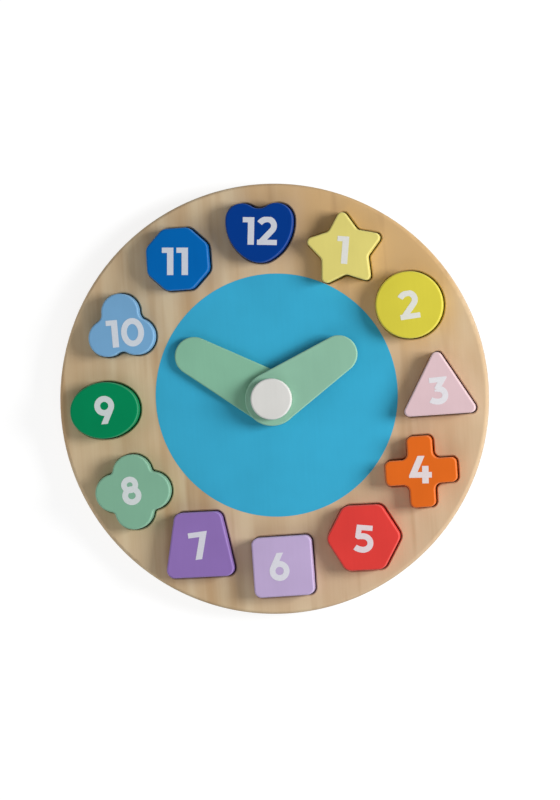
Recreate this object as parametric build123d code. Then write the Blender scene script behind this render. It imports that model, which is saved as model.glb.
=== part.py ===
from build123d import *
from collections.abc import Callable
from dataclasses import dataclass
import math
import os

# Shape-sorting teaching clock: a round board with twelve loose shape blocks in a ring of recesses
# and two hands on a centre axle. Millimetres. The board lies on its back: +Z is the dial's outward
# normal, +Y points at 12 o'clock, and the origin is the centre of the back face.

# Board: a thin back panel glued behind a face board that is cut right through at each recess
BOARD_DIAMETER = 220.0
BACK_THICKNESS = 4.0
FACE_THICKNESS = 8.0
FRONT_EDGE_RADIUS = 1.8
BACK_EDGE_RADIUS = 1.5
RECESS_EDGE_CHAMFER = 0.6

# Blocks: the same thickness for all, resting on the back panel and standing proud of the face.
# They lie on a ring set in from the board's rim.
RING_INSET = 25.0
BLOCK_THICKNESS = 16.0
BLOCK_TOP_RADIUS = 0.9
BLOCK_BASE_CHAMFER = 0.8

# Each recess is larger all round than its block. The block lies loose to the left in it, which
# leaves the near gap on that side and twice the clearance less the near gap on the other.
RECESS_CLEARANCE = 0.5
RECESS_NEAR_GAP = 0.35

# Block outlines. Radii to points and corners are those of the sharp shape, before its fillets. A
# shift moves an outline's own centre off the ring, and an angle turns it, counterclockwise.
STAR_POINTS = 5
STAR_POINT_RADIUS = 21.4
STAR_NOTCH_RADIUS = 12.3
STAR_POINT_FILLET = 2.5
STAR_NOTCH_FILLET = 3.3
STAR_SHIFT_X = -0.2
STAR_SHIFT_Y = -0.6

CIRCLE_RADIUS = 17.1
CIRCLE_SHIFT_X = -0.2
CIRCLE_SHIFT_Y = 0.4

TRIANGLE_INRADIUS = 11.55
TRIANGLE_FILLET = 2.7
TRIANGLE_SHIFT_X = 0.3
TRIANGLE_SHIFT_Y = -2.3

CROSS_SPAN = 36.3
CROSS_ARM_WIDTH = 12.7
CROSS_OUTER_FILLET = 2.9
CROSS_INNER_FILLET = 3.4
CROSS_SHIFT_X = -0.05
CROSS_SHIFT_Y = 0.55

HEXAGON_INRADIUS = 16.55
HEXAGON_FILLET = 4.8
HEXAGON_SHIFT_X = -0.45
HEXAGON_SHIFT_Y = 0.1
HEXAGON_ANGLE = -1.0

SQUARE_SIDE = 30.5
SQUARE_FILLET = 3.6
SQUARE_SHIFT_X = -0.05
SQUARE_SHIFT_Y = -0.45

TRAPEZOID_TOP_WIDTH = 23.3
TRAPEZOID_BASE_WIDTH = 36.0
TRAPEZOID_HEIGHT = 33.2
TRAPEZOID_FILLET = 4.1
TRAPEZOID_SHIFT_X = 0.35
TRAPEZOID_SHIFT_Y = 2.0
TRAPEZOID_ANGLE = -1.0

QUATREFOIL_PETALS = 4
QUATREFOIL_PETAL_RADIUS = 9.75
QUATREFOIL_PETAL_OFFSET = 9.45
QUATREFOIL_NOTCH_RADIUS = 2.3
QUATREFOIL_SHIFT_X = -0.7

OVAL_WIDTH = 35.2
OVAL_HEIGHT = 28.9
OVAL_END_RADIUS = 12.5
OVAL_SHIFT_X = -1.05
OVAL_SHIFT_Y = 0.1
OVAL_ANGLE = 2.5

TREFOIL_LOBES = 3
TREFOIL_LOBE_RADIUS = 9.5
TREFOIL_LOBE_OFFSET = 8.6
TREFOIL_NOTCH_RADIUS = 4.4
TREFOIL_SHIFT_X = -0.95
TREFOIL_SHIFT_Y = -1.45

OCTAGON_INRADIUS = 15.85
OCTAGON_FILLET = 4.9
OCTAGON_SHIFT_X = -0.6
OCTAGON_SHIFT_Y = 0.9

HEART_LOBE_RADIUS = 8.4
HEART_LOBE_OFFSET = 8.8
HEART_TIP_RADIUS = 11.3
HEART_SIDE_RADIUS = 22.5
HEART_NOTCH_RADIUS = 7.0
HEART_LOBE_TO_TIP = 10.7
HEART_SHIFT_X = -0.3
HEART_SHIFT_Y = -0.15
HEART_ANGLE = -3.0

# Hands: each a straight taper between a hub circle and a smaller tip circle, standing at an angle
# that is counted clockwise from 12 o'clock
HAND_THICKNESS = 3.0
HAND_HUB_RADIUS = 13.7
HAND_EDGE_RADIUS = 0.7
MINUTE_HAND_REACH = 45.9
MINUTE_HAND_TIP_RADIUS = 9.8
MINUTE_HAND_ANGLE = 302.4
HOUR_HAND_REACH = 41.0
HOUR_HAND_TIP_RADIUS = 9.6
HOUR_HAND_ANGLE = 60.1

# Hub: a dowel axle glued in the face board, three friction washers and a turned cap
AXLE_DIAMETER = 8.0
AXLE_GLUE_CLEARANCE = 0.05
HAND_RUNNING_CLEARANCE = 0.08
WASHER_DIAMETER = 17.0
WASHER_THICKNESS = 0.4
CAP_DIAMETER = 21.0
CAP_THICKNESS = 3.6
CAP_EDGE_RADIUS = 0.9
CAP_SOCKET_DEPTH = 2.0

# Radii, the blocks' lie and the levels that follow. Levels are measured up from the back face.
RING_RADIUS = BOARD_DIAMETER / 2 - RING_INSET
BLOCK_LIE = RECESS_CLEARANCE - RECESS_NEAR_GAP
FACE_LEVEL = BACK_THICKNESS + FACE_THICKNESS
MINUTE_HAND_LEVEL = FACE_LEVEL + WASHER_THICKNESS
MIDDLE_WASHER_LEVEL = MINUTE_HAND_LEVEL + HAND_THICKNESS
HOUR_HAND_LEVEL = MIDDLE_WASHER_LEVEL + WASHER_THICKNESS
UPPER_WASHER_LEVEL = HOUR_HAND_LEVEL + HAND_THICKNESS
CAP_LEVEL = UPPER_WASHER_LEVEL + WASHER_THICKNESS
AXLE_TOP = CAP_LEVEL + CAP_SOCKET_DEPTH
GLUED_BORE_RADIUS = AXLE_DIAMETER / 2 + AXLE_GLUE_CLEARANCE
RUNNING_BORE_RADIUS = AXLE_DIAMETER / 2 + HAND_RUNNING_CLEARANCE


def polar_point(radius: float, degrees: float) -> tuple[float, float]:
    """Point at a radius, with the angle counted clockwise from +Y as on a dial."""
    angle = math.radians(degrees)
    return radius * math.sin(angle), radius * math.cos(angle)


def touch_point(centre: Vector, towards: Vector, radius: float) -> Vector:
    """Point of a circle on the ray from its centre towards another point."""
    return centre + (towards - centre).normalized() * radius


def arc_middle(centre: Vector, start: Vector, end: Vector, radius: float) -> Vector:
    """Middle of the shorter arc about a centre between two of its points."""
    return touch_point(centre, (start + end) / 2, radius)


def regular_outline(sides: int, inradius: float, corner_fillet: float) -> Sketch:
    """Regular polygon with rounded corners and a flat base."""
    circumradius = inradius / math.cos(math.pi / sides)
    first = 0 if sides % 2 else 180 / sides
    corners = [polar_point(circumradius, first - 360 * i / sides) for i in range(sides)]
    shape = Polygon(*corners, align=None)
    return fillet(shape.vertices(), corner_fillet)


def fillet_in_and_out(shape: Sketch, split: float, inner: float, outer: float) -> Sketch:
    """Round the corners within a radius of the origin by one fillet and those beyond by another."""
    near = shape.vertices().filter_by(lambda corner: Vector(corner).length < split)
    shape = fillet(near, inner)
    far = shape.vertices().filter_by(lambda corner: Vector(corner).length > split)
    return fillet(far, outer)


def star_outline() -> Sketch:
    """Five-pointed star with rounded points and notches."""
    step = 180 / STAR_POINTS
    radii = (STAR_POINT_RADIUS, STAR_NOTCH_RADIUS)
    corners = [polar_point(radii[i % 2], -step * i) for i in range(2 * STAR_POINTS)]
    shape = Polygon(*corners, align=None)
    split = (STAR_POINT_RADIUS + STAR_NOTCH_RADIUS) / 2
    return fillet_in_and_out(shape, split, STAR_NOTCH_FILLET, STAR_POINT_FILLET)


def circle_outline() -> Sketch:
    """Plain disc."""
    return Sketch() + Circle(CIRCLE_RADIUS)


def triangle_outline() -> Sketch:
    """Equilateral triangle standing on a side, about its centroid."""
    return regular_outline(3, TRIANGLE_INRADIUS, TRIANGLE_FILLET)


def cross_outline() -> Sketch:
    """Equal-armed cross with rounded arms and rounded inner corners."""
    shape = Rectangle(CROSS_SPAN, CROSS_ARM_WIDTH) + Rectangle(CROSS_ARM_WIDTH, CROSS_SPAN)
    return fillet_in_and_out(shape, CROSS_SPAN / 2, CROSS_INNER_FILLET, CROSS_OUTER_FILLET)


def hexagon_outline() -> Sketch:
    """Regular hexagon with a flat top and base."""
    return regular_outline(6, HEXAGON_INRADIUS, HEXAGON_FILLET)


def square_outline() -> Sketch:
    """Square with rounded corners."""
    return Sketch() + RectangleRounded(SQUARE_SIDE, SQUARE_SIDE, SQUARE_FILLET)


def trapezoid_outline() -> Sketch:
    """Isosceles trapezoid, narrow side up, about the middle of its height."""
    half = TRAPEZOID_HEIGHT / 2
    corners = (
        (-TRAPEZOID_BASE_WIDTH / 2, -half),
        (TRAPEZOID_BASE_WIDTH / 2, -half),
        (TRAPEZOID_TOP_WIDTH / 2, half),
        (-TRAPEZOID_TOP_WIDTH / 2, half),
    )
    shape = Polygon(*corners, align=None)
    return fillet(shape.vertices(), TRAPEZOID_FILLET)


def lobed_outline(lobes: int, radius: float, offset_out: float, notch_radius: float) -> Sketch:
    """Equal round lobes about a centre, the first one up, with a tangent arc in each notch."""
    half_step = math.radians(180 / lobes)
    across = offset_out * math.sin(half_step)
    rise = math.sqrt((radius + notch_radius) ** 2 - across**2)
    notch_out = offset_out * math.cos(half_step) + rise
    edges = []
    for i in range(lobes):
        angle = 360 * i / lobes
        lobe = Vector(*polar_point(offset_out, angle))
        before = Vector(*polar_point(notch_out, angle - 180 / lobes))
        after = Vector(*polar_point(notch_out, angle + 180 / lobes))
        following = Vector(*polar_point(offset_out, angle + 360 / lobes))
        crest = polar_point(offset_out + radius, angle)
        valley = polar_point(notch_out - notch_radius, angle + 180 / lobes)
        start, end = touch_point(lobe, before, radius), touch_point(lobe, after, radius)
        edges.append(ThreePointArc(start, crest, end))
        edges.append(ThreePointArc(end, valley, touch_point(following, after, radius)))
    return Sketch() + make_face(edges)


def quatrefoil_outline() -> Sketch:
    """Four-petalled flower with a petal on each axis."""
    return lobed_outline(
        QUATREFOIL_PETALS, QUATREFOIL_PETAL_RADIUS, QUATREFOIL_PETAL_OFFSET, QUATREFOIL_NOTCH_RADIUS
    )


def oval_outline() -> Sketch:
    """Oval of four tangent arcs, lying on its long side."""
    end = Vector(OVAL_WIDTH / 2 - OVAL_END_RADIUS, 0)
    shallow = OVAL_HEIGHT / 2 - OVAL_END_RADIUS
    depth = (end.X**2 - shallow**2) / (2 * shallow)
    side = Vector(0, -depth)
    corner = touch_point(end, end * 2 - side, OVAL_END_RADIUS)
    top = (0, OVAL_HEIGHT / 2)
    quarters = [
        ThreePointArc((-corner.X, corner.Y), top, corner),
        ThreePointArc(corner, (OVAL_WIDTH / 2, 0), (corner.X, -corner.Y)),
        ThreePointArc((corner.X, -corner.Y), (0, -OVAL_HEIGHT / 2), (-corner.X, -corner.Y)),
        ThreePointArc((-corner.X, -corner.Y), (-OVAL_WIDTH / 2, 0), (-corner.X, corner.Y)),
    ]
    return Sketch() + make_face(quarters)


def trefoil_outline() -> Sketch:
    """Three-lobed trefoil, one lobe up."""
    return lobed_outline(
        TREFOIL_LOBES, TREFOIL_LOBE_RADIUS, TREFOIL_LOBE_OFFSET, TREFOIL_NOTCH_RADIUS
    )


def octagon_outline() -> Sketch:
    """Regular octagon with a flat top and base."""
    return regular_outline(8, OCTAGON_INRADIUS, OCTAGON_FILLET)


def heart_outline() -> Sketch:
    """Heart of tangent arcs: notch, lobe, bowed side and blunt tip, mirrored, centred in its box."""
    lobe = Vector(HEART_LOBE_OFFSET, HEART_LOBE_TO_TIP / 2)
    tip = Vector(0, -HEART_LOBE_TO_TIP / 2)

    # the side arc encloses both the lobe circle and the tip circle and touches each from outside
    from_lobe = HEART_SIDE_RADIUS - HEART_LOBE_RADIUS
    from_tip = HEART_SIDE_RADIUS - HEART_TIP_RADIUS
    base = tip - lobe
    along = (from_lobe**2 - from_tip**2 + base.length**2) / (2 * base.length)
    across = math.sqrt(from_lobe**2 - along**2)
    unit = base.normalized()
    side = lobe + unit * along + Vector(unit.Y, -unit.X) * across

    # the notch arc lies outside the lobe circle and touches it
    rise = math.sqrt((HEART_LOBE_RADIUS + HEART_NOTCH_RADIUS) ** 2 - HEART_LOBE_OFFSET**2)
    notch = Vector(0, lobe.Y + rise)

    notch_low = notch - Vector(0, HEART_NOTCH_RADIUS)
    notch_end = touch_point(notch, lobe, HEART_NOTCH_RADIUS)
    lobe_end = touch_point(lobe, lobe * 2 - side, HEART_LOBE_RADIUS)
    side_end = touch_point(tip, tip * 2 - side, HEART_TIP_RADIUS)
    tip_low = tip - Vector(0, HEART_TIP_RADIUS)
    lobe_outer = touch_point(lobe, lobe + Vector(1, 1), HEART_LOBE_RADIUS)
    right = [
        ThreePointArc(notch_low, arc_middle(notch, notch_low, notch_end, HEART_NOTCH_RADIUS), notch_end),
        ThreePointArc(notch_end, lobe_outer, lobe_end),
        ThreePointArc(lobe_end, arc_middle(side, lobe_end, side_end, HEART_SIDE_RADIUS), side_end),
        ThreePointArc(side_end, arc_middle(tip, side_end, tip_low, HEART_TIP_RADIUS), tip_low),
    ]
    left = [mirror(edge, about=Plane.YZ) for edge in right]
    heart = make_face(right + left)
    box = heart.bounding_box()
    return Sketch() + Pos(0, -(box.min.Y + box.max.Y) / 2) * heart


@dataclass(frozen=True)
class Block:
    """One numbered shape block, and where its recess lies on the board."""

    node: str
    hour: int
    outline: Callable[[], Sketch]
    shift_x: float = 0.0
    shift_y: float = 0.0
    angle: float = 0.0

    def place(self, level: float) -> Location:
        """Location of the recess's middle at a level, near the ring at its hour."""
        x, y = polar_point(RING_RADIUS, 30 * self.hour)
        return Pos(x + self.shift_x, y + self.shift_y, level) * Rot(0, 0, self.angle)


BLOCKS = (
    Block("block_01_star", 1, star_outline, STAR_SHIFT_X, STAR_SHIFT_Y),
    Block("block_02_circle", 2, circle_outline, CIRCLE_SHIFT_X, CIRCLE_SHIFT_Y),
    Block("block_03_triangle", 3, triangle_outline, TRIANGLE_SHIFT_X, TRIANGLE_SHIFT_Y),
    Block("block_04_cross", 4, cross_outline, CROSS_SHIFT_X, CROSS_SHIFT_Y),
    Block("block_05_hexagon", 5, hexagon_outline, HEXAGON_SHIFT_X, HEXAGON_SHIFT_Y, HEXAGON_ANGLE),
    Block("block_06_square", 6, square_outline, SQUARE_SHIFT_X, SQUARE_SHIFT_Y),
    Block(
        "block_07_trapezoid", 7, trapezoid_outline, TRAPEZOID_SHIFT_X, TRAPEZOID_SHIFT_Y, TRAPEZOID_ANGLE
    ),
    Block("block_08_quatrefoil", 8, quatrefoil_outline, QUATREFOIL_SHIFT_X),
    Block("block_09_oval", 9, oval_outline, OVAL_SHIFT_X, OVAL_SHIFT_Y, OVAL_ANGLE),
    Block("block_10_trefoil", 10, trefoil_outline, TREFOIL_SHIFT_X, TREFOIL_SHIFT_Y),
    Block("block_11_octagon", 11, octagon_outline, OCTAGON_SHIFT_X, OCTAGON_SHIFT_Y),
    Block("block_12_heart", 12, heart_outline, HEART_SHIFT_X, HEART_SHIFT_Y, HEART_ANGLE),
)


def make_block(block: Block) -> Part:
    """Block with a rounded top edge and a chamfered base edge, lying on the back panel."""
    body = extrude(block.outline(), BLOCK_THICKNESS)
    body = fillet(body.faces().sort_by(Axis.Z)[-1].edges(), BLOCK_TOP_RADIUS)
    body = chamfer(body.faces().sort_by(Axis.Z)[0].edges(), BLOCK_BASE_CHAMFER)
    return Pos(-BLOCK_LIE, 0, 0) * block.place(BACK_THICKNESS) * body


def make_recess(block: Block) -> Part:
    """Cutter for the cut-out that a block sits in, flared at the face to ease its rim."""
    opening = offset(block.outline(), RECESS_CLEARANCE, kind=Kind.ARC)
    flare = Pos(0, 0, FACE_THICKNESS - RECESS_EDGE_CHAMFER) * opening
    cutter = extrude(opening, FACE_THICKNESS) + extrude(flare, RECESS_EDGE_CHAMFER, taper=-45)
    return block.place(BACK_THICKNESS) * cutter


def make_back_panel() -> Part:
    """Plain round panel, its rear edge rounded."""
    panel = extrude(Circle(BOARD_DIAMETER / 2), BACK_THICKNESS)
    return fillet(panel.faces().sort_by(Axis.Z)[0].edges(), BACK_EDGE_RADIUS)


def make_face_board() -> Part:
    """Round board with a rounded front edge, twelve shaped cut-outs and the axle's bore."""
    board = extrude(Circle(BOARD_DIAMETER / 2) - Circle(GLUED_BORE_RADIUS), FACE_THICKNESS)
    front_edge = board.faces().sort_by(Axis.Z)[-1].outer_wire().edges()
    board = Pos(0, 0, BACK_THICKNESS) * fillet(front_edge, FRONT_EDGE_RADIUS)
    for block in BLOCKS:
        board -= make_recess(block)
    return board


def make_hand(reach: float, tip_radius: float, clockwise: float, level: float) -> Part:
    """Hand tapering from its hub circle to its tip circle, bored for the axle."""
    slant = math.degrees(math.acos((HAND_HUB_RADIUS - tip_radius) / reach))
    tip_x, tip_y = polar_point(tip_radius, slant)
    hub_x, hub_y = polar_point(HAND_HUB_RADIUS, slant)
    web = Polygon(
        (-hub_x, hub_y), (hub_x, hub_y), (tip_x, reach + tip_y), (-tip_x, reach + tip_y), align=None
    )
    outline = Circle(HAND_HUB_RADIUS) + Pos(0, reach) * Circle(tip_radius) + web
    hand = extrude(outline, HAND_THICKNESS)
    hand = fillet(hand.faces().sort_by(Axis.Z)[-1].edges(), HAND_EDGE_RADIUS)
    hand -= extrude(Circle(RUNNING_BORE_RADIUS), HAND_THICKNESS)
    return Pos(0, 0, level) * Rot(0, 0, -clockwise) * hand


def make_washer(level: float) -> Part:
    """Flat friction washer with a running bore."""
    ring = Circle(WASHER_DIAMETER / 2) - Circle(RUNNING_BORE_RADIUS)
    return Pos(0, 0, level) * extrude(ring, WASHER_THICKNESS)


def make_axle() -> Part:
    """Dowel standing on the back panel, through the face board and into the cap."""
    return Pos(0, 0, BACK_THICKNESS) * extrude(Circle(AXLE_DIAMETER / 2), AXLE_TOP - BACK_THICKNESS)


def make_cap() -> Part:
    """Round button with a rounded rim and a blind socket for the axle's end."""
    cap = extrude(Circle(CAP_DIAMETER / 2), CAP_THICKNESS)
    cap = fillet(cap.faces().sort_by(Axis.Z)[-1].edges(), CAP_EDGE_RADIUS)
    cap -= extrude(Circle(GLUED_BORE_RADIUS), CAP_SOCKET_DEPTH)
    return Pos(0, 0, CAP_LEVEL) * cap


def make_parts() -> dict[str, Part]:
    """Every node's solid, by the node's name."""
    parts = {
        "back_panel": make_back_panel(),
        "face_board": make_face_board(),
        "axle_pin": make_axle(),
        "lower_washer": make_washer(FACE_LEVEL),
        "minute_hand": make_hand(
            MINUTE_HAND_REACH, MINUTE_HAND_TIP_RADIUS, MINUTE_HAND_ANGLE, MINUTE_HAND_LEVEL
        ),
        "middle_washer": make_washer(MIDDLE_WASHER_LEVEL),
        "hour_hand": make_hand(
            HOUR_HAND_REACH, HOUR_HAND_TIP_RADIUS, HOUR_HAND_ANGLE, HOUR_HAND_LEVEL
        ),
        "upper_washer": make_washer(UPPER_WASHER_LEVEL),
        "hub_cap": make_cap(),
    }
    for block in BLOCKS:
        parts[block.node] = make_block(block)
    return parts


os.makedirs("parts", exist_ok=True)
for node, solid in make_parts().items():
    export_step(solid, f"parts/{node}.step")
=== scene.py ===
"""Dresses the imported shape-sorting clock: paint, wood, printed numbers, studio and camera.

The board lies on its back at the origin. +Z is the dial's outward normal and +Y points at 12.
Sizes are in millimetres up to the point where a mesh is made, which is in metres.
"""

import logging
import math
from dataclasses import dataclass, field
from enum import Enum
from typing import NamedTuple

import bmesh
import bpy
from mathutils import Matrix, Vector


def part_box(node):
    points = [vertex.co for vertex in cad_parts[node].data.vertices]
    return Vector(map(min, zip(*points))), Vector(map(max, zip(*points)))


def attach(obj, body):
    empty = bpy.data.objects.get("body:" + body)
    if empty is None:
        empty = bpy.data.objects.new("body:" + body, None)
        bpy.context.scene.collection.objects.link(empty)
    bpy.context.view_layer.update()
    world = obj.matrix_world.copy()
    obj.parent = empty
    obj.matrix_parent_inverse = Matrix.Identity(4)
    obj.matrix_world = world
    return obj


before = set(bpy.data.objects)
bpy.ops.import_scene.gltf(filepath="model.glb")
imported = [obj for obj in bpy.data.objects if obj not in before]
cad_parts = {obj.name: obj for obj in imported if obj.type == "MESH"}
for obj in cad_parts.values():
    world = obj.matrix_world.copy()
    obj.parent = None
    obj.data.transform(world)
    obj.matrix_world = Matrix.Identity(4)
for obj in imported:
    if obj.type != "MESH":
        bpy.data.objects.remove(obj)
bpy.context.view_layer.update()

log = logging.getLogger("clock")
MM = 0.001
PER_MM = 1000.0
CHORD_TURN = 5.0  # the most that one chord of a drawn arc turns, in degrees
WHITE = (1.0, 1.0, 1.0, 1.0)
Point = tuple[float, float]
Grain = tuple[float, float]  # width and length of one figure of a pattern, across and along the grain
Place = tuple[float, float, float]
Colour = tuple[float, float, float, float]
Tree = bpy.types.NodeTree
Socket = bpy.types.NodeSocket
Inputs = dict[str | int, object]


def linear(hex_colour: str) -> Colour:
    """Turn an sRGB hex colour into linear RGBA.

    Args:
        hex_colour: Six hex digits with a leading #.

    Returns:
        Linear red, green, blue and an alpha of 1.
    """
    channels = (int(hex_colour[i : i + 2], 16) / 255 for i in (1, 3, 5))
    red, green, blue = (c / 12.92 if c <= 0.04045 else ((c + 0.055) / 1.055) ** 2.4 for c in channels)
    return red, green, blue, 1.0


def add(tree: Tree, kind: str, inputs: Inputs | None = None, **settings: object) -> bpy.types.Node:
    """Add a node with its settings, its input values and its links.

    Args:
        tree: The shader or geometry tree that gets the node.
        kind: The node's bl_idname.
        inputs: Input sockets by name or index, each with a value, or with an output socket to link.
        settings: Properties of the node itself.

    Returns:
        The new node.
    """
    node = tree.nodes.new(kind)
    for name, value in settings.items():
        setattr(node, name, value)
    for key, value in (inputs or {}).items():
        if isinstance(value, Socket):
            tree.links.new(value, node.inputs[key])
        else:
            node.inputs[key].default_value = value
    return node


def new_material(name: str) -> tuple[bpy.types.Material, Tree]:
    """Start an empty node material.

    Args:
        name: The finish's name.

    Returns:
        The material and its emptied tree.
    """
    material = bpy.data.materials.new(name)
    material.use_nodes = True
    material.node_tree.nodes.clear()
    return material, material.node_tree


def new_object(name: str, data: bpy.types.ID) -> bpy.types.Object:
    """Add an object to the scene.

    Args:
        name: Its name.
        data: Its mesh, lamp or camera.

    Returns:
        The object.
    """
    made = bpy.data.objects.new(name, data)
    bpy.context.scene.collection.objects.link(made)
    return made


def stretched(tree: Tree, across: float, along: float) -> Socket:
    """Object coordinates in units of one grain figure: its width in X and Z, its length in Y.

    Args:
        tree: The material's tree.
        across: Width of one figure in millimetres.
        along: Length of one figure in millimetres.

    Returns:
        The scaled vector.
    """
    place = add(tree, "ShaderNodeTexCoord").outputs["Object"]
    scale = (PER_MM / across, PER_MM / along, PER_MM / across)
    return add(tree, "ShaderNodeMapping", {"Vector": place, "Scale": scale}).outputs["Vector"]


def figured(tree: Tree, size: Grain, detail: float = 2.0, roughness: float = 0.5) -> Socket:
    """Irregular clouds or fibres of a real size, as a value from 0 to 1 that averages a half."""
    inputs = {"Vector": stretched(tree, *size), "Scale": 1.0, "Detail": detail, "Roughness": roughness}
    return add(tree, "ShaderNodeTexNoise", inputs).outputs["Fac"]


def toned(tree: Tree, value: Socket, ends: Point, dark: str, pale: str) -> Socket:
    """Colour between a dark and a pale tone.

    Args:
        tree: The material's tree.
        value: What the tone follows.
        ends: That value where the colour is dark and where it is pale.
        dark: The dark tone.
        pale: The pale tone.

    Returns:
        The colour.
    """
    spread = add(tree, "ShaderNodeMapRange", {"Value": value, "From Min": ends[0], "From Max": ends[1]})
    tones = {"Factor": spread.outputs["Result"], "A": linear(dark), "B": linear(pale)}
    return add(tree, "ShaderNodeMix", tones, data_type="RGBA").outputs[2]


def drifting(tree: Tree, colour: Colour, value: Socket, span: Point) -> Socket:
    """Colour whose brightness drifts a little.

    Args:
        tree: The material's tree.
        colour: The even colour.
        value: The figure that the drift follows.
        span: The least and the most brightness, as a share of the even colour's.

    Returns:
        The colour.
    """
    # nearly all of a figure's values lie between these two
    ends = {"Value": value, "From Min": 0.3, "From Max": 0.7, "To Min": span[0], "To Max": span[1]}
    brightness = add(tree, "ShaderNodeMapRange", ends).outputs["Result"]
    return add(tree, "ShaderNodeHueSaturation", {"Color": colour, "Value": brightness}).outputs[0]


# ---- finishes


class Look(NamedTuple):
    """What a finish gives its shader.

    Attributes:
        colour: The colour.
        height: The relief, from 0 to 1.
        strength: How strongly the relief shades.
        depth: The relief's depth in millimetres.
        shine: The shader's values that are the same all over.
    """

    colour: Socket
    height: Socket
    strength: float
    depth: float
    shine: Inputs


@dataclass(frozen=True)
class Finish:
    """A real material and how its surface was made.

    Attributes:
        name: The finish's name.
    """

    name: str

    def look(self, tree: Tree) -> Look:
        """Add the nodes for the finish's colour and relief, and return the look that they give."""
        raise NotImplementedError

    def build(self) -> bpy.types.Material:
        """Make the material.

        Returns:
            The node material.
        """
        material, tree = new_material(self.name)
        look = self.look(tree)
        height = {"Height": look.height, "Strength": look.strength, "Distance": look.depth * MM}
        relief = add(tree, "ShaderNodeBump", height)
        inputs = {"Base Color": look.colour, "Normal": relief.outputs["Normal"], **look.shine}
        shader = add(tree, "ShaderNodeBsdfPrincipled", inputs)
        add(tree, "ShaderNodeOutputMaterial", {"Surface": shader.outputs[0]})
        return material


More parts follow.
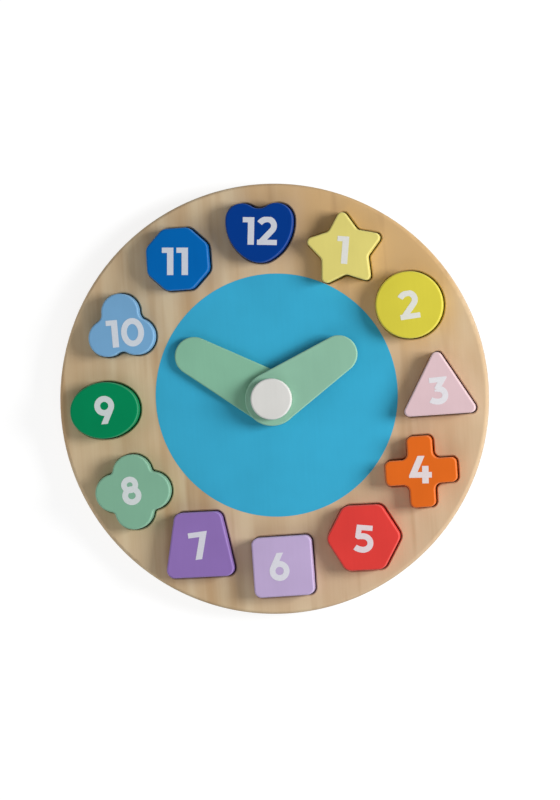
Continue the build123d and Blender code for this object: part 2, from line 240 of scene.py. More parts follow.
@dataclass(frozen=True)
class SolidWood(Finish):
    """Flat-sawn wood, planed, sanded and given one thin coat of clear lacquer, its grain along Y.

    Growth rings run round a pith behind the board, so they meet the face as soft straight bands and
    the rim as arcs. The eye sees those bands, broad cloudy patches, a pinker tone towards the
    heartwood, a golden tone towards the board's upper right, a few brown streaks, very fine fibres
    and a silky, low shine.

    Attributes:
        pale: Early wood, away from the heart.
        dark: Late wood.
        heart: Heartwood.
        amber: The golden tone towards the upper right.
        streak: Mineral streaks.
        pith: The pith line's X and Z.
        ring_width: Distance from one growth ring to the next.
        wander: How far the rings stray from round.
        bend: One such stray.
        cloud: One cloudy patch.
        cloud_share: How much of the tone the cloudy patches make.
        fibre: One fibre.
        fibre_share: How much of the tone the fibres make.
        tone_ends: The mixed tone's values at the dark and at the pale end.
        heart_ends: Radii where the heartwood ends and where it is full.
        heart_share: The most that heartwood tints the wood.
        amber_place: The middle of the golden patch.
        amber_ends: Distances from it where the amber tone ends and where it is full.
        amber_fray: How far that patch's edge strays.
        amber_share: The most that the amber tone tints the wood.
        streaks: One mineral streak.
        streak_ends: The streaks' figure where one begins and where it is full.
        streak_share: The most that a streak tints the wood.
        roughness: The lacquer's roughness.
    """

    pale: str
    dark: str
    heart: str
    amber: str
    streak: str
    pith: Point = (62.0, -125.0)
    ring_width: float = 6.5
    wander: float = 14.0
    bend: Grain = (55.0, 240.0)
    cloud: Grain = (17.0, 40.0)
    cloud_share: float = 0.5
    fibre: Grain = (0.9, 38.0)
    fibre_share: float = 0.12
    tone_ends: Point = (0.34, 0.64)
    heart_ends: Point = (172.0, 118.0)
    heart_share: float = 0.62
    amber_place: Point = (62.0, 88.0)
    amber_ends: Point = (95.0, 15.0)
    amber_fray: float = 60.0
    amber_share: float = 0.85
    streaks: Grain = (8.0, 90.0)
    streak_ends: Point = (0.57, 0.78)
    streak_share: float = 0.5
    roughness: float = 0.52

    def radius(self, tree: Tree) -> Socket:
        """Distance from the pith in millimetres, with the rings' slow wander along the trunk.

        Args:
            tree: The material's tree.

        Returns:
            The distance.
        """
        bend = {"Vector": stretched(tree, *self.bend), "Scale": 1.0, "Detail": 2.0}
        drift = add(tree, "ShaderNodeTexNoise", bend).outputs["Color"]
        section = {0: stretched(tree, 1, 1), 1: (1, 0, 1), 2: (-self.pith[0], 0, -self.pith[1])}
        flat = add(tree, "ShaderNodeVectorMath", section, operation="MULTIPLY_ADD")
        stray = {0: drift, 1: (self.wander, 0, self.wander), 2: flat.outputs[0]}
        bowed = add(tree, "ShaderNodeVectorMath", stray, operation="MULTIPLY_ADD")
        return add(tree, "ShaderNodeVectorMath", {0: bowed.outputs[0]}, operation="LENGTH").outputs["Value"]

    def plain(self, tree: Tree, radius: Socket, cloud: Socket, fibres: Socket) -> Socket:
        """Sapwood: early and late wood in bands, broken by clouds and fibres.

        Args:
            tree: The material's tree.
            radius: Distance from the pith.
            cloud: The cloudy patches' figure.
            fibres: The fibres' figure.

        Returns:
            The colour.
        """
        growth = {"W": radius, "Scale": 1 / self.ring_width, "Detail": 2.0, "Roughness": 0.45}
        bands = add(tree, "ShaderNodeTexNoise", growth, noise_dimensions="1D").outputs["Fac"]
        soft = add(tree, "ShaderNodeMix", {"Factor": self.cloud_share, "A": bands, "B": cloud})
        fine = {"Factor": self.fibre_share, "A": soft.outputs["Result"], "B": fibres}
        tone = add(tree, "ShaderNodeMix", fine).outputs["Result"]
        return toned(tree, tone, self.tone_ends, self.dark, self.pale)

    def frayed(self, tree: Tree, cloud: Socket) -> Socket:
        """Distance from the middle of the golden patch in millimetres, strayed by the clouds.

        Args:
            tree: The material's tree.
            cloud: The cloudy patches' figure.

        Returns:
            The distance.
        """
        middle = (-self.amber_place[0], -self.amber_place[1], 0)
        face = {0: stretched(tree, 1, 1), 1: (1, 1, 0), 2: middle}
        away = add(tree, "ShaderNodeVectorMath", face, operation="MULTIPLY_ADD")
        distance = add(tree, "ShaderNodeVectorMath", {0: away.outputs[0]}, operation="LENGTH")
        fray = {0: cloud, 1: self.amber_fray, 2: distance.outputs["Value"]}
        return add(tree, "ShaderNodeMath", fray, operation="MULTIPLY_ADD").outputs[0]

    def look(self, tree: Tree) -> Look:
        """Add the nodes for bands, tints and fibres.

        Args:
            tree: The material's tree.

        Returns:
            The look.
        """
        radius = self.radius(tree)
        cloud = figured(tree, self.cloud)
        fibres = figured(tree, self.fibre, 3.0, 0.6)
        colour = self.plain(tree, radius, cloud, fibres)
        # the clouds average a half, so the fray moves the amber's ends out by half of its most
        golden_patch_ends = tuple(end + self.amber_fray / 2 for end in self.amber_ends)
        streaks = figured(tree, self.streaks)
        # tints: pinker heartwood, a golden tone towards the upper right, brown streaks
        tints = (
            (radius, self.heart_ends, self.heart_share, "SMOOTHSTEP", self.heart),
            (self.frayed(tree, cloud), golden_patch_ends, self.amber_share, "SMOOTHSTEP", self.amber),
            (streaks, self.streak_ends, self.streak_share, "LINEAR", self.streak),
        )
        for value, (none, full), most, ramp, tint in tints:
            ends = {"Value": value, "From Min": none, "From Max": full, "To Max": most}
            share = add(tree, "ShaderNodeMapRange", ends, interpolation_type=ramp).outputs["Result"]
            mixed = {"Factor": share, "A": colour, "B": linear(tint)}
            colour = add(tree, "ShaderNodeMix", mixed, data_type="RGBA").outputs[2]
        lacquer = {"Specular IOR Level": 0.25, "Coat Weight": 0.1, "Coat Roughness": 0.35}
        return Look(colour, fibres, 0.4, 0.02, {"Roughness": self.roughness, **lacquer})


@dataclass(frozen=True)
class SprayedPaint(Finish):
    """Water-based acrylic, sprayed on sanded wood and rubbed to a satin.

    The eye sees an even colour that drifts very slightly, the wood's fibres telegraphed through it,
    a fine orange peel, and a paler line on each eased edge, partly thin film and partly painted highlight.

    Attributes:
        colour: The paint.
        edge: The paler edge colour, partly the paint where its film is thin and partly a painted highlight.
        roughness: How matt it is.
        specular: How strongly it reflects.
        edge_share: The most that the pale edge colour, thin film and painted highlight, shows.
        lean_ends: The normal's Z where the pale edge line begins and where it is full.
        steep_ends: The normal's Z where it has ended and where it begins to fade.
        drift: One patch of the colour's drift.
        fibre: One fibre below the paint.
        fibre_share: How much of the drift the fibres make.
        span: The least and the most brightness of the drifting colour.
        peel: One pit of the orange peel.
    """

    colour: str
    edge: str
    roughness: float = 0.42
    specular: float = 0.08
    edge_share: float = 0.5
    lean_ends: Point = (0.90, 0.68)
    steep_ends: Point = (0.1, 0.35)
    drift: Grain = (22.0, 22.0)
    fibre: Grain = (1.3, 24.0)
    fibre_share: float = 0.22
    span: Point = (0.955, 1.045)
    peel: Grain = (1.6, 1.6)

    def thinned(self, tree: Tree) -> Socket:
        """Rounded top edge that leans between level and upright: part thin film, part painted highlight.

        Args:
            tree: The material's tree.

        Returns:
            A factor from 0 to edge_share.
        """
        normal = add(tree, "ShaderNodeNewGeometry").outputs["Normal"]
        upward = add(tree, "ShaderNodeSeparateXYZ", {0: normal}).outputs["Z"]
        share: float | Socket = self.edge_share
        for start, end in (self.lean_ends, self.steep_ends):
            limit = {"Value": upward, "From Min": start, "From Max": end, "To Max": share}
            share = add(tree, "ShaderNodeMapRange", limit).outputs["Result"]
        return share

    def look(self, tree: Tree) -> Look:
        """Add the nodes for the film, its thin edges and its peel.

        Args:
            tree: The material's tree.

        Returns:
            The look.
        """
        fibres = figured(tree, self.fibre, 2.0, 0.55)
        patches = {"Factor": self.fibre_share, "A": figured(tree, self.drift), "B": fibres}
        uneven = add(tree, "ShaderNodeMix", patches).outputs["Result"]
        film = drifting(tree, linear(self.colour), uneven, self.span)
        # paler rounded edges: partly thin paint, partly a painted highlight
        pale_edge_highlit = {"Factor": self.thinned(tree), "A": film, "B": linear(self.edge)}
        colour = add(tree, "ShaderNodeMix", pale_edge_highlit, data_type="RGBA").outputs[2]
        pits = {"Factor": 0.5, "A": figured(tree, self.peel, 1.0), "B": fibres}
        relief = add(tree, "ShaderNodeMix", pits).outputs["Result"]
        satin = {"Roughness": self.roughness, "Specular IOR Level": self.specular}
        return Look(colour, relief, 0.4, 0.015, satin)


@dataclass(frozen=True)
class ScreenInk(Finish):
    """Thin white ink, pulled through a screen on to dry paint.

    The eye sees a flat white that takes a little of the paint's colour from below, with a faint
    mesh-like unevenness and no shine.

    Attributes:
        under: The paint below.
        colour: The ink.
        show_through: How much of the paint's colour shows.
        mesh: One patch of the unevenness.
        span: The least and the most brightness of the ink.
    """

    under: str
    colour: str = "#dddfe3"
    show_through: float = 0.17
    mesh: Grain = (0.9, 0.9)
    span: Point = (0.97, 1.02)

    def look(self, tree: Tree) -> Look:
        """Add the nodes for the veil of ink and its mesh.

        Args:
            tree: The material's tree.

        Returns:
            The look.
        """
        mesh = figured(tree, self.mesh, 1.0)
        veil = Vector(linear(self.colour)).lerp(Vector(linear(self.under)), self.show_through)
        colour = drifting(tree, tuple(veil), mesh, self.span)
        return Look(colour, mesh, 0.3, 0.01, {"Roughness": 0.6, "Specular IOR Level": 0.15})


@dataclass(frozen=True)
class StampedNylon(Finish):
    """Natural nylon sheet, stamped into washers.

    The eye sees a milky, slightly waxy off-white with fine roller lines.

    Attributes:
        colour: The nylon.
        roller: One roller line.
        span: The least and the most brightness of the nylon.
    """

    colour: str = "#d8d6cf"
    roller: Grain = (0.5, 9.0)
    span: Point = (0.97, 1.02)

    def look(self, tree: Tree) -> Look:
        """Add the nodes for the nylon and its roller lines.

        Args:
            tree: The material's tree.

        Returns:
            The look.
        """
        lines = figured(tree, self.roller)
        colour = drifting(tree, linear(self.colour), lines, self.span)
        waxy = {"Roughness": 0.38, "IOR": 1.53, "Subsurface Weight": 0.08, "Subsurface Scale": 1.0 * MM}
        return Look(colour, lines, 0.3, 0.01, waxy)


@dataclass(frozen=True)
class BirchPlywood(Finish):
    """Three-ply birch panel, sanded and left bare, its outer plies' grain along Y.

    The eye sees a broad pale figure on the face and, on the edge, a darker middle ply cut across its
    grain between two paler ones.

    Attributes:
        pale: Early wood.
        dark: Late wood.
        core: The middle ply's end grain.
        low: Height of the panel's back, in metres.
        high: Height of the panel's front, in metres.
        plies: How many plies it has.
        figure: One figure of the rotary-cut face.
        fibre: One fibre.
        fibre_share: How much of the tone the fibres make.
        tone_ends: The mixed tone's values at the dark and at the pale end.
        pore: One pore of the end grain.
    """

    pale: str
    dark: str
    core: str
    low: float
    high: float
    plies: float = 3.0
    figure: Grain = (19.0, 130.0)
    fibre: Grain = (0.9, 26.0)
    fibre_share: float = 0.35
    tone_ends: Point = (0.35, 0.65)
    pore: Grain = (0.7, 0.7)

    def crossed(self, tree: Tree) -> Socket:
        """Tell the cross-grained middle ply from the others, by height through the panel.

        Args:
            tree: The material's tree.

        Returns:
            A factor that is 1 in the middle ply.
        """
        place = add(tree, "ShaderNodeTexCoord").outputs["Object"]
        level = add(tree, "ShaderNodeSeparateXYZ", {0: place}).outputs["Z"]
        through = {"Value": level, "From Min": self.low, "From Max": self.high, "To Max": self.plies}
        # heights are counted in plies here, and the middle ply is what lies within half a ply of half-way
        ply = add(tree, "ShaderNodeMapRange", through).outputs["Result"]
        within = {0: ply, 1: self.plies / 2, 2: 0.5}
        return add(tree, "ShaderNodeMath", within, operation="COMPARE").outputs[0]

    def look(self, tree: Tree) -> Look:
        """Add the nodes for the face's figure and the edge's plies.

        Args:
            tree: The material's tree.

        Returns:
            The look.
        """
        fibres = figured(tree, self.fibre, 3.0, 0.6)
        broad = {"Factor": self.fibre_share, "A": figured(tree, self.figure, 4.0, 0.55), "B": fibres}
        tone = add(tree, "ShaderNodeMix", broad).outputs["Result"]
        face = toned(tree, tone, self.tone_ends, self.dark, self.pale)
        end_grain = toned(tree, figured(tree, self.pore), (0.0, 1.0), self.core, self.dark)
        plies = {"Factor": self.crossed(tree), "A": face, "B": end_grain}
        colour = add(tree, "ShaderNodeMix", plies, data_type="RGBA").outputs[2]
        return Look(colour, fibres, 0.5, 0.04, {"Roughness": 0.62, "Specular IOR Level": 0.3})


# ---- printed numbers


class Rim(Enum):
    """How a digit meets its base line or its cap line."""

    FLAT = "cut level"
    ROUND = "curves past the line"


@dataclass(frozen=True)
class Stroke:
    """One pen stroke's centreline, in millimetres from the digit's lower left corner.

    Attributes:
        points: The centreline.
        width: The stroke's full width.
        closed: Whether the centreline is a ring.
    """

    points: tuple[Point, ...]
    width: float
    closed: bool = False


@dataclass(frozen=True)
class Digit:
    """A digit as its strokes and the box that they are trimmed to.

    Attributes:
        strokes: The strokes.
        width: The box's width.
        base: How the digit meets its base line.
        cap: How the digit meets its cap line.
    """

    strokes: tuple[Stroke, ...]
    width: float
    base: Rim = Rim.FLAT
    cap: Rim = Rim.FLAT


def bar(start: Point, end: Point, width: float) -> Stroke:
    """Straight stroke between two points."""
    return Stroke((start, end), width)


def arc(centre: Point, radii: Point, start: float, end: float) -> tuple[Point, ...]:
    """Points along an arc of a circle or an upright ellipse.

    Args:
        centre: The arc's centre.
        radii: The radius along X and along Y.
        start: The first point's angle in degrees, counterclockwise from +X.
        end: The last point's angle.

    Returns:
        The points, both ends included.
    """
    count = max(2, math.ceil(abs(end - start) / CHORD_TURN))
    angles = (math.radians(start + (end - start) * i / count) for i in range(count + 1))
    return tuple((centre[0] + radii[0] * math.cos(a), centre[1] + radii[1] * math.sin(a)) for a in angles)


def ring(centre: Point, radii: Point, width: float) -> Stroke:
    """Closed round stroke."""
    return Stroke(arc(centre, radii, 0, 360)[:-1], width, closed=True)


@dataclass(frozen=True)
class Typeface:
    """Plain bold geometric figures, drawn as strokes of nearly one weight.

    Uprights are a little heavier than bars and bowls, and round figures pass the lines slightly.

    Attributes:
        cap_height: Height of a level-topped digit.
        overshoot: How far a round digit passes its base line or cap line.
        upright: Width of an upright stroke.
        bowl: Width of a round stroke.
        level_bar: Width of a level stroke.
        gap: Space between two digits.
        beyond: How far a stroke runs past a line that trims it.
    """

    cap_height: float = 14.2
    overshoot: float = 0.35
    upright: float = 3.3
    bowl: float = 3.05
    level_bar: float = 2.7
    gap: float = 1.6
    beyond: float = 2.0

    @property
    def top(self) -> float:
        """Centreline of a level bar under the cap line."""
        return self.cap_height - self.level_bar / 2

    @property
    def above(self) -> float:
        """Where a stroke ends that the cap line trims."""
        return self.cap_height + self.beyond

    @property
    def zero(self) -> Digit:
        """Upright oval ring."""
        middle = 6.0
        oval = ring((middle, self.cap_height / 2), (middle - self.bowl / 2, 5.85), self.bowl)
        return Digit((oval,), 2 * middle, base=Rim.ROUND, cap=Rim.ROUND)

    @property
    def one(self) -> Digit:
        """Upright with a short level flag."""
        width = 6.0
        stem = width - self.upright / 2
        upright = bar((stem, -self.beyond), (stem, self.above), self.upright)
        return Digit((upright, bar((0, self.top), (stem, self.top), self.level_bar)), width)

    @property
    def two(self) -> Digit:
        """Open bowl running into a slanted stroke and a level base."""
        width, middle, turn = 10.3, 5.3, -43.0
        shoulder = arc((middle, 8.3), (5.0, 5.0), 145, 90)
        bowl = arc((middle, 9.95), (3.35, 3.35), 90, turn)
        end = bowl[-1]
        slope = math.tan(math.radians(turn))
        foot = (end[0] + (end[1] + self.beyond) * slope, -self.beyond)
        swan = Stroke(shoulder + bowl[1:] + (foot,), self.bowl)
        base = self.level_bar / 2
        return Digit((swan, bar((0, base), (width, base), self.level_bar)), width, cap=Rim.ROUND)

    @property
    def three(self) -> Digit:
        """Level top, slanted stroke and an open bowl."""
        width, middle = 10.1, 5.1
        bowl = arc((middle, 4.85), (3.45, 3.25), 100, -90)
        tail = arc((middle, 6.1), (6.0, 4.5), -90, -135)
        strokes = (
            bar((0.9, self.top), (8.55, self.top), self.level_bar),
            bar((4.3, 7.9), (10.6, 16.4), self.level_bar + 0.1),
            bar((3.2, 7.35), (8.1, 7.35), 1.0),
            Stroke(bowl + tail[1:], self.bowl),
        )
        return Digit(strokes, width, base=Rim.ROUND)

    @property
    def four(self) -> Digit:
        """Long slanted stroke, level bar and a short upright that crosses it."""
        width, slant, foot = 11.7, 0.446, 1.6
        low, level, stem = 3.65, 4.4, 8.4
        strokes = (
            bar((foot, low), (foot + (self.above - low) * slant, self.above), self.upright),
            bar((0, low), (foot + 1, low), 1.4),
            bar((foot, level), (width, level), self.level_bar + 0.2),
            bar((stem, -self.beyond), (stem, 9.0), self.upright),
        )
        return Digit(strokes, width)

    @property
    def five(self) -> Digit:
        """Level top, an upright with a slanted foot, and an open bowl."""
        width, middle = 10.5, 5.0
        shoulder = arc((middle, -11.65), (20.1, 20.1), 99.1, 90)
        bowl = arc((middle, 4.95), (3.85, 3.5), 90, -90)
        tail = arc((middle, 5.9), (5.9, 4.45), -90, -132)
        strokes = (
            bar((1.3, self.top), (9.4, self.top), self.level_bar),
            bar((2.12, 7.75), (2.7, self.above), self.bowl - 0.3),
            bar((1.4, 7.17), (2.68, 8.97), 1.64),
            Stroke(shoulder + bowl[1:] + tail[1:], self.bowl),
        )
        return Digit(strokes, width, base=Rim.ROUND)

    @property
    def six(self) -> Digit:
        """Round bowl with a straight slanted stem that leaves it at a tangent."""
        width, lean = 10.4, math.radians(27.5)
        centre, radius = (5.2, 4.8), 3.65
        start = (centre[0] - radius * math.cos(lean), centre[1] + radius * math.sin(lean))
        end = (start[0] + (self.above - start[1]) * math.tan(lean), self.above)
        strokes = (ring(centre, (radius, radius), self.bowl), bar(start, end, self.bowl))
        return Digit(strokes, width, base=Rim.ROUND)

    @property
    def seven(self) -> Digit:
        """Level top and a slanted stroke."""
        width, slant, foot = 10.1, 0.313, 3.9
        start = (foot - self.beyond * slant, -self.beyond)
        end = (foot + self.above * slant, self.above)
        strokes = (bar((0, self.top), (7.5, self.top), self.level_bar), bar(start, end, self.upright))
        return Digit(strokes, width)

    @property
    def eight(self) -> Digit:
        """Two rings, the upper one smaller."""
        middle = 5.05
        lower = ring((middle, 4.6), (3.5, 3.35), self.bowl)
        upper = ring((middle, 10.3), (3.0, 2.8), self.bowl - 0.1)
        return Digit((lower, upper), 2 * middle, base=Rim.ROUND, cap=Rim.ROUND)

    @property
    def nine(self) -> Digit:
        """The six turned half round."""
        width = self.six.width
        turned = tuple(
            Stroke(tuple((width - x, self.cap_height - y) for x, y in s.points), s.width, s.closed)
            for s in self.six.strokes
        )
        return Digit(turned, width, cap=Rim.ROUND)

    def digits(self, number: int) -> list[Digit]:
        """Write a number in figures.

        Args:
            number: The number.

        Returns:
            Its digits, left to right.
        """
        up_to_four = (self.zero, self.one, self.two, self.three, self.four)
        figures = (*up_to_four, self.five, self.six, self.seven, self.eight, self.nine)
        return [figures[int(figure)] for figure in str(number)]


@dataclass
class InkPress:
    """Turns a digit's strokes into a thin, sharp-edged film of ink with one Geometry Nodes tree.

    Attributes:
        face: The figures' shapes.
        film: How far the ink stands above the paint.
        sunk: How far it reaches into the paint.
        print_size: The printed figures' size against the drawn ones.
        tree: The tree, once build_tree has made it.
        sockets: The identifier of each of its inputs, by name.
    """

    face: Typeface
    film: float = 0.07
    sunk: float = 0.02
    print_size: float = 0.985
    tree: bpy.types.GeometryNodeTree | None = None
    sockets: dict[str, str] = field(default_factory=dict)

    def build_tree(self) -> None:
        """Build the tree: centrelines to flat strokes, joined, trimmed to a box and inked."""
        tree = bpy.data.node_groups.new("inked_digit", "GeometryNodeTree")
        kinds = {"Strokes": "Geometry", "Trim Centre": "Vector", "Trim Size": "Vector", "Ink": "Material"}
        for name, kind in kinds.items():
            socket = tree.interface.new_socket(name, in_out="INPUT", socket_type=f"NodeSocket{kind}")
            self.sockets[name] = socket.identifier
        tree.interface.new_socket("Film", in_out="OUTPUT", socket_type="NodeSocketGeometry")

        given = add(tree, "NodeGroupInput").outputs
        width = add(tree, "GeometryNodeInputNamedAttribute", {"Name": "width"}, data_type="FLOAT")
        lines = add(tree, "GeometryNodeMeshToCurve", {"Mesh": given["Strokes"]})
        level = add(tree, "GeometryNodeSetCurveNormal", {"Curve": lines.outputs[0]}, mode="Z_UP")
        # the nib is one unit square, and the stroke's width scales it both ways: deep enough to trim
        square = {"Width": 1.0, "Height": 1.0}
        nib = add(tree, "GeometryNodeCurvePrimitiveQuadrilateral", square, mode="RECTANGLE")
        pull = {"Curve": level.outputs[0], "Profile Curve": nib.outputs[0], "Fill Caps": True}
        pulled = add(tree, "GeometryNodeCurveToMesh", {"Scale": width.outputs["Attribute"], **pull})
        overlaps = {"Mesh 2": pulled.outputs[0], "Self Intersection": True}
        joined = add(tree, "GeometryNodeMeshBoolean", overlaps, operation="UNION", solver="EXACT")
        stencil = add(tree, "GeometryNodeMeshCube", {"Size": given["Trim Size"]})
        place = {"Geometry": stencil.outputs[0], "Translation": given["Trim Centre"]}
        placed = add(tree, "GeometryNodeTransform", place)
        strokes = {"Mesh 2": joined.outputs[0]}
        trimmed = add(tree, "GeometryNodeMeshBoolean", strokes, operation="INTERSECT", solver="EXACT")
        tree.links.new(placed.outputs[0], trimmed.inputs["Mesh 2"])
        real = add(tree, "GeometryNodeRealizeInstances", {"Geometry": trimmed.outputs[0]})
        ink = {"Geometry": real.outputs[0], "Material": given["Ink"]}
        inked = add(tree, "GeometryNodeSetMaterial", ink)
        add(tree, "NodeGroupOutput", {"Film": inked.outputs[0]})
        self.tree = tree

    def press(self, digit: Digit, ink: bpy.types.Material) -> bpy.types.Mesh:
        """Make one digit's film, its lower left corner at the origin and its underside at z = 0.

        Args:
            digit: The digit.
            ink: The film's material.

        Returns:
            A closed mesh in metres.
        """
        vertices: list[Place] = []
        edges: list[tuple[int, int]] = []
        widths: list[float] = []
        for stroke in digit.strokes:
            first = len(vertices)
            count = len(stroke.points)
            vertices += [(x * MM, y * MM, 0.0) for x, y in stroke.points]
            edges += [(first + i, first + i + 1) for i in range(count - 1)]
            if stroke.closed:
                edges.append((first + count - 1, first))
            widths += [stroke.width * MM] * count
        lines = bpy.data.meshes.new("digit_strokes")
        lines.from_pydata(vertices, edges, [])
        lines.attributes.new("width", "FLOAT", "POINT").data.foreach_set("value", widths)
        pen = new_object("digit_strokes", lines)

        low = -self.face.overshoot if digit.base is Rim.ROUND else 0.0
        high = self.face.cap_height + (self.face.overshoot if digit.cap is Rim.ROUND else 0.0)
        depth = self.film + self.sunk
        modifier = pen.modifiers.new("press", "NODES")
        modifier.node_group = self.tree
        middle = (digit.width / 2 * MM, (low + high) / 2 * MM, depth / 2 * MM)
        modifier[self.sockets["Trim Centre"]] = middle
        modifier[self.sockets["Trim Size"]] = (digit.width * MM, (high - low) * MM, depth * MM)
        modifier[self.sockets["Ink"]] = ink
        seen = pen.evaluated_get(bpy.context.evaluated_depsgraph_get())
        film = bpy.data.meshes.new_from_object(seen)
        pen.modifiers.remove(modifier)
        bpy.data.objects.remove(pen)
        bpy.data.meshes.remove(lines)
        return film

    def print_number(self, number: int, ink: bpy.types.Material) -> bpy.types.Mesh:
        """Set a number's digits side by side, centred on the origin.

        Args:
            number: The number to print.
            ink: The material to print it in.

        Returns:
            One mesh in metres, its underside at z = 0.
        """
        joined = bmesh.new()
        start = 0.0
        for digit in self.face.digits(number):
            film = self.press(digit, ink)
            film.transform(Matrix.Translation((start * MM, 0, 0)))
            joined.from_mesh(film)
            bpy.data.meshes.remove(film)
            start += digit.width + self.face.gap
        across = start - self.face.gap
        middle = Vector((-across / 2, -self.face.cap_height / 2, 0)) * MM
        bmesh.ops.translate(joined, verts=joined.verts, vec=middle)
        bmesh.ops.scale(joined, verts=joined.verts, vec=(self.print_size, self.print_size, 1))
        bmesh.ops.recalc_face_normals(joined, faces=joined.faces)
        mesh = bpy.data.meshes.new(f"number_{number:02d}")
        joined.to_mesh(mesh)
        joined.free()
        mesh.materials.append(ink)
        return mesh


# ---- sub-assemblies


def piece(name: str, mesh: bpy.types.Mesh, body: str) -> None:
    """Add a finished mesh to the scene as a piece that rides on a body.

    Args:
        name: The piece's name.
        mesh: Its mesh, in place.
        body: The body that carries it.
    """
    made = new_object(name, mesh)
    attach(made, body)
    log.info("%s: %d faces on %s", name, len(mesh.polygons), body)


def dress(node: str, material: bpy.types.Material) -> None:
    """Give a carried-over node its finish.

    Args:
        node: The node's name.
        material: The finish.
    """
    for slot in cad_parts[node].material_slots:
        slot.material = material
    log.info("%s: %s", node, material.name)


@dataclass
class Board:
    """Face board, back panel, axle and the dial disc that is painted on the face.

    Attributes:
        body: The body that carries them all.
        dial_radius: The painted disc's radius.
        dial_centre: Its centre, which the print misses the axle by.
        dial_film: How far the paint stands above the wood.
        washer_margin: Bare wood between the washer and the paint.
        dial_steps: Corners of the disc's outline.
    """

    body: str = "clock_board"
    dial_radius: float = 62.1
    dial_centre: Point = (1.9, 1.8)
    dial_film: float = 0.06
    washer_margin: float = 0.3
    dial_steps: int = 256

    def build(self) -> None:
        """Dress the wood and paint the dial."""
        wood = SolidWood("linden_lacquered", "#d2bd9b", "#bb9c76", "#d3b398", "#cba672", "#a37d55")
        low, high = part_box("back_panel")
        panel = BirchPlywood("birch_plywood_sanded", "#d8c19b", "#bf9f73", "#a07f55", low.z, high.z)
        # the dowel comes from near the heart of its trunk: narrow rings round a pith not far beside it
        rings = {"pith": (21.0, -3.0), "ring_width": 1.8, "wander": 2.0, "heart_ends": (17.0, 4.0)}
        tones = ("#d4b88c", "#bd9c6d", "#cfa986", "#cda36d", "#a98557")
        dowel = SolidWood("beech_dowel_lacquered", *tones, **rings)
        dress("face_board", wood.build())
        dress("back_panel", panel.build())
        dress("axle_pin", dowel.build())
        self.paint_dial()

    def paint_dial(self) -> None:
        """Lay the dial's disc of paint round the washer's bare seat."""
        name = "acrylic_sprayed_sky_blue"
        paint = SprayedPaint(name, "#39a8cd", "#66bad4", roughness=0.5, specular=0.12)
        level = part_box("face_board")[1].z
        washer_low, washer_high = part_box("lower_washer")
        bore = (washer_high.x - washer_low.x) / 2 + self.washer_margin * MM
        outer = self.dial_radius * MM
        top = level + self.dial_film * MM
        axle = Vector((0, 0, 0))
        centre = Vector((*self.dial_centre, 0)) * MM
        disc = bmesh.new()
        loops = []
        profile = ((bore, top, axle), (outer, top, centre), (outer, level, centre), (bore, level, axle))
        for radius, height, about in profile:
            loop = []
            for step in range(self.dial_steps):
                turn = 2 * math.pi * step / self.dial_steps
                along = Vector((math.cos(turn), math.sin(turn), 0))
                loop.append(disc.verts.new(about + along * radius + Vector((0, 0, height))))
            loops.append(loop)
        for inner, outer_loop in zip(loops, loops[1:] + loops[:1]):
            for step in range(self.dial_steps):
                after = (step + 1) % self.dial_steps
                disc.faces.new((inner[step], inner[after], outer_loop[after], outer_loop[step]))
        bmesh.ops.recalc_face_normals(disc, faces=disc.faces)
        mesh = bpy.data.meshes.new("dial_paint")
        disc.to_mesh(mesh)
        disc.free()
        mesh.materials.append(paint.build())
        piece("dial_paint", mesh, self.body)


@dataclass
class HandsAndHub:
    """The two hands, the cap that holds them and the washers between.

    Attributes:
        washers: The washers' nodes.
    """

    washers: tuple[str, ...] = ("lower_washer", "middle_washer", "upper_washer")

    def build(self) -> None:
        """Dress each node."""
        # the second colour of each is its pale edge: partly thin paint, partly a painted highlight
        dress("minute_hand", SprayedPaint("acrylic_sprayed_leaf_green", "#86ba9e", "#9ccbb0").build())
        dress("hour_hand", SprayedPaint("acrylic_sprayed_pale_green", "#8dbba2", "#a6d1b8").build())
        dress("hub_cap", SprayedPaint("acrylic_sprayed_white", "#dad9d5", "#e2e1de").build())
        nylon = StampedNylon("nylon_stamped").build()
        for washer in self.washers:
            dress(washer, nylon)


@dataclass(frozen=True)
class NumberBlock:
    """One painted block and the number printed on it.

    Attributes:
        node: The block's node, which is also its body.
        number: The number on it.
        paint: What the paint's colour is called.
        colour: The paint's colour.
        edge: The paler colour on its rounded edge, partly thin paint and partly a painted highlight.
        print_shift: The number's centre from the centre of the block's box.
        print_turn: The number's turn on the block, clockwise, in degrees.
    """

    node: str
    number: int
    paint: str
    colour: str
    edge: str
    print_shift: Point
    print_turn: float

    def build(self, press: InkPress) -> None:
        """Paint the block and print its number.

        Args:
            press: What makes the number's film.
        """
        # the edge colour is partly thin paint and partly a painted highlight
        paint = SprayedPaint(f"acrylic_sprayed_{self.paint}", self.colour, self.edge)
        dress(self.node, paint.build())
        low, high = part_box(self.node)
        middle = (low + high) / 2
        middle.z = high.z
        place = Matrix.Translation(middle + Vector((*self.print_shift, -press.sunk)) * MM)
        turn = Matrix.Rotation(math.radians(-self.print_turn), 4, "Z")
        ink = ScreenInk(f"screen_ink_on_{self.paint}", self.colour).build()
        film = press.print_number(self.number, ink)
        film.transform(place @ turn)
        piece(f"print_{self.number:02d}", film, self.node)
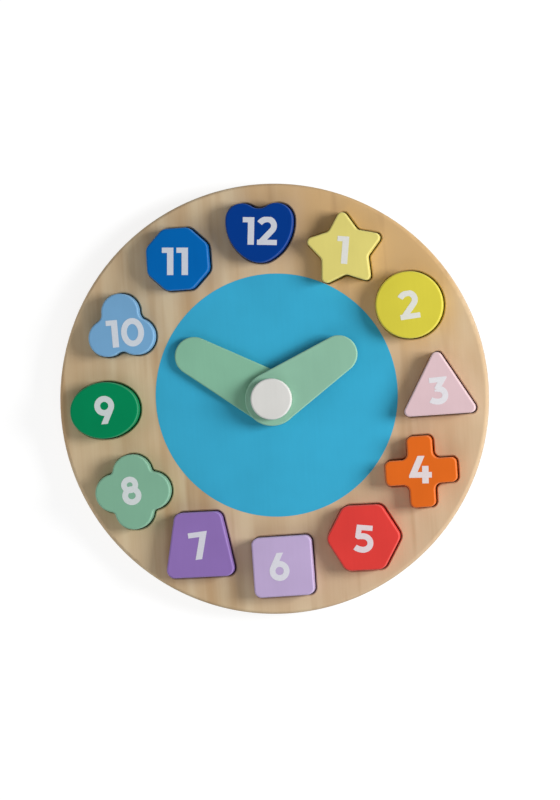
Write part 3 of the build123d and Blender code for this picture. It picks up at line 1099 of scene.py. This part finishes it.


# each block's last colour is its pale edge: partly thin paint, partly a painted highlight
BLOCKS = (
    NumberBlock("block_01_star", 1, "straw", "#dace76", "#e6dc98", (-0.72, -1.55), 8.5),
    NumberBlock("block_02_circle", 2, "yellow", "#d2c743", "#e0d67c", (-0.12, -0.21), -4.5),
    NumberBlock("block_03_triangle", 3, "pink", "#d8bbc0", "#e4cfd2", (-0.19, -3.83), -2.0),
    NumberBlock("block_04_cross", 4, "orange", "#d9661f", "#e39368", (-0.19, 1.02), 3.0),
    NumberBlock("block_05_hexagon", 5, "red", "#d93f3a", "#df7a72", (0.17, -0.58), 8.0),
    NumberBlock("block_06_square", 6, "lilac", "#bba7ce", "#cdbfda", (-1.73, 0.15), 0.0),
    NumberBlock("block_07_trapezoid", 7, "purple", "#8e70b3", "#ab95c6", (0.39, -0.39), -4.0),
    NumberBlock("block_08_quatrefoil", 8, "sage", "#81b297", "#a3c9b1", (-0.74, 0.63), -7.7),
    NumberBlock("block_09_oval", 9, "green", "#018453", "#5fa684", (0.38, 0.03), -1.5),
    NumberBlock("block_10_trefoil", 10, "pale_blue", "#75a7cf", "#9dc1dc", (2.27, -4.36), -1.0),
    NumberBlock("block_11_octagon", 11, "blue", "#0163b0", "#5b8cc0", (-1.19, -1.07), 4.0),
    NumberBlock("block_12_heart", 12, "navy", "#023787", "#4f6ba6", (0.16, 0.57), 5.2),
)


# ---- studio


@dataclass(frozen=True)
class Lamp:
    """Square soft light that faces the origin.

    Attributes:
        name: The lamp's name.
        place: Where it stands, in metres.
        side: The length of its side, in metres.
        watts: Its power.
    """

    name: str
    place: Place
    side: float
    watts: float

    def build(self) -> None:
        """Add the lamp to the scene."""
        data = bpy.data.lights.new(self.name, "AREA")
        data.size = self.side
        data.energy = self.watts
        lamp = new_object(self.name, data)
        lamp.location = self.place
        lamp.rotation_euler = Vector(self.place).to_track_quat("Z", "Y").to_euler()
        # the lamps light but don't glare, as behind a polarising filter, so no satin top washes out
        # where the view is against the light: what shines is the pale room's reflection
        lamp.visible_glossy = False


@dataclass(frozen=True)
class Studio:
    """Plain soft light, a pale floor and a white backdrop.

    Attributes:
        lamps: A soft key at the dial's right, a weak fill below the 6, a weak low lamp at the left
            and one below that shows the back.
        ambient: The world's strength on the object, next to the 1 that the eye sees as white.
        paper: The floor's colour to the light that it throws back on the object.
        glow: How bright the eye sees the floor where no light falls on it.
        catch: How much of the light on the floor is added to that.
        floor_radius: The floor's radius, in metres.
        floor_drop: The gap between the board and the floor, in metres.
        lit_near: Out to this distance the floor shows the object's shadow in full.
        white_far: From this distance on it is plain white.
    """

    lamps: tuple[Lamp, ...] = (
        Lamp("key", (0.86, 0.06, 0.50), 0.40, 11.0),
        Lamp("fill", (0.0, -0.62, 0.55), 0.5, 1.2),
        Lamp("low", (-0.70, 0.0, 0.20), 0.4, 1.4),
        Lamp("under", (0.0, 0.0, -1.0), 1.0, 3.0),
    )
    ambient: float = 0.24
    paper: str = "#e6e6e6"
    glow: float = 0.80
    catch: float = 0.30
    floor_radius: float = 12.0
    floor_drop: float = 0.0002
    lit_near: float = 0.40
    white_far: float = 0.75

    def white_to_eye(self, tree: Tree) -> Socket:
        """Tell the rays that show the background from those that light the object.

        Args:
            tree: The world's or the floor's tree.

        Returns:
            A factor that is 1 for camera, glossy and transmission rays.
        """
        rays = add(tree, "ShaderNodeLightPath").outputs
        shown = rays["Is Camera Ray"]
        for other in ("Is Glossy Ray", "Is Transmission Ray"):
            shown = add(tree, "ShaderNodeMath", {0: shown, 1: rays[other]}, operation="MAXIMUM").outputs[0]
        return shown

    def build_world(self) -> None:
        """Make a grey ambient light that shows as white."""
        world = bpy.data.worlds.new("studio")
        world.use_nodes = True
        tree = world.node_tree
        tree.nodes.clear()
        ambient = add(tree, "ShaderNodeBackground", {"Color": WHITE, "Strength": self.ambient})
        white = add(tree, "ShaderNodeBackground", {"Color": WHITE, "Strength": 1.0})
        either = {0: self.white_to_eye(tree), 1: ambient.outputs[0], 2: white.outputs[0]}
        shown = add(tree, "ShaderNodeMixShader", either)
        add(tree, "ShaderNodeOutputWorld", {"Surface": shown.outputs[0]})
        bpy.context.scene.world = world

    def paper_floor(self) -> bpy.types.Material:
        """Make white paper that keeps the object's soft shadow, and is open from below.

        Returns:
            The node material.
        """
        material, tree = new_material("floor_white_paper")
        pale = add(tree, "ShaderNodeBsdfDiffuse", {"Color": linear(self.paper)})
        shaded = add(tree, "ShaderNodeBsdfDiffuse", {"Color": (self.catch, self.catch, self.catch, 1)})
        glow = add(tree, "ShaderNodeEmission", {"Color": WHITE, "Strength": self.glow})
        near = add(tree, "ShaderNodeAddShader", {0: glow.outputs[0], 1: shaded.outputs[0]})
        far = add(tree, "ShaderNodeEmission", {"Color": WHITE, "Strength": 1.0})
        place = add(tree, "ShaderNodeTexCoord").outputs["Object"]
        reach = add(tree, "ShaderNodeVectorMath", {0: place}, operation="LENGTH").outputs["Value"]
        distance = {"Value": reach, "From Min": self.lit_near, "From Max": self.white_far}
        fade = add(tree, "ShaderNodeMapRange", distance).outputs["Result"]
        paper = add(tree, "ShaderNodeMixShader", {0: fade, 1: near.outputs[0], 2: far.outputs[0]})
        sides = {0: self.white_to_eye(tree), 1: pale.outputs[0], 2: paper.outputs[0]}
        top = add(tree, "ShaderNodeMixShader", sides)
        clear = add(tree, "ShaderNodeBsdfTransparent")
        below = add(tree, "ShaderNodeNewGeometry").outputs["Backfacing"]
        surface = add(tree, "ShaderNodeMixShader", {0: below, 1: top.outputs[0], 2: clear.outputs[0]})
        add(tree, "ShaderNodeOutputMaterial", {"Surface": surface.outputs[0]})
        return material

    def build_floor(self) -> None:
        """Lay the floor just under the board."""
        sheet = bmesh.new()
        level = Matrix.Translation((0, 0, -self.floor_drop))
        bmesh.ops.create_circle(sheet, cap_ends=True, segments=64, radius=self.floor_radius, matrix=level)
        mesh = bpy.data.meshes.new("floor")
        sheet.to_mesh(mesh)
        sheet.free()
        mesh.materials.append(self.paper_floor())
        floor = new_object("floor", mesh)
        # the sheet throws no shade on the underside, so the back is lit when it is looked at from below
        floor.visible_shadow = False
        floor.visible_diffuse = False

    def build(self) -> None:
        """Set up the lamps, the world and the floor."""
        for lamp in self.lamps:
            lamp.build()
        self.build_world()
        self.build_floor()
        bpy.context.scene.view_settings.view_transform = "Standard"
        log.info("studio: %d lamps, world and floor", len(self.lamps))


@dataclass(frozen=True)
class LongLens:
    """Camera nearly square to the dial, leaning to its right, with the board turned a little in view.

    Attributes:
        distance: From the aim to the lens, in metres.
        lens: Focal length, in millimetres.
        sensor: The film's longer side, in millimetres.
        lean: The view's angle from the dial's normal, in degrees.
        lean_towards: The side it leans to, counterclockwise from the view's right.
        roll: How far the dial is turned clockwise in view.
        aim: The point in the middle of the view, in millimetres.
        sight: How far the camera sees, in metres.
    """

    distance: float = 2.0
    lens: float = 176.2
    sensor: float = 36.0
    lean: float = 5.48
    lean_towards: float = 5.74
    roll: float = 3.99
    aim: Place = (3.58, -0.81, 12.0)
    sight: float = 100.0

    def build(self) -> None:
        """Make the camera and set it as the scene's."""
        roll, lean, side = map(math.radians, (self.roll, self.lean, self.lean_towards))
        sideways = Vector((math.cos(side - roll), math.sin(side - roll), 0))
        back = Vector((0, 0, math.cos(lean))) + sideways * math.sin(lean)
        right = Vector((math.sin(roll), math.cos(roll), 0)).cross(back).normalized()
        up = back.cross(right)

        data = bpy.data.cameras.new("long_lens")
        data.lens = self.lens
        data.sensor_width = self.sensor
        data.clip_end = self.sight
        camera = new_object("long_lens", data)
        turn = Matrix((right, up, back)).transposed().to_4x4()
        camera.matrix_world = Matrix.Translation(Vector(self.aim) * MM + back * self.distance) @ turn
        bpy.context.scene.camera = camera
        log.info("camera: %.0f mm lens at %.1f m", self.lens, self.distance)


def main() -> None:
    """Build the clock's looks, then the studio and the camera."""
    logging.basicConfig(level=logging.INFO, format="%(name)s: %(message)s")
    Board().build()
    HandsAndHub().build()
    press = InkPress(Typeface())
    press.build_tree()
    for block in BLOCKS:
        block.build(press)
    Studio().build()
    LongLens().build()


if __name__ == "__main__":
    main()
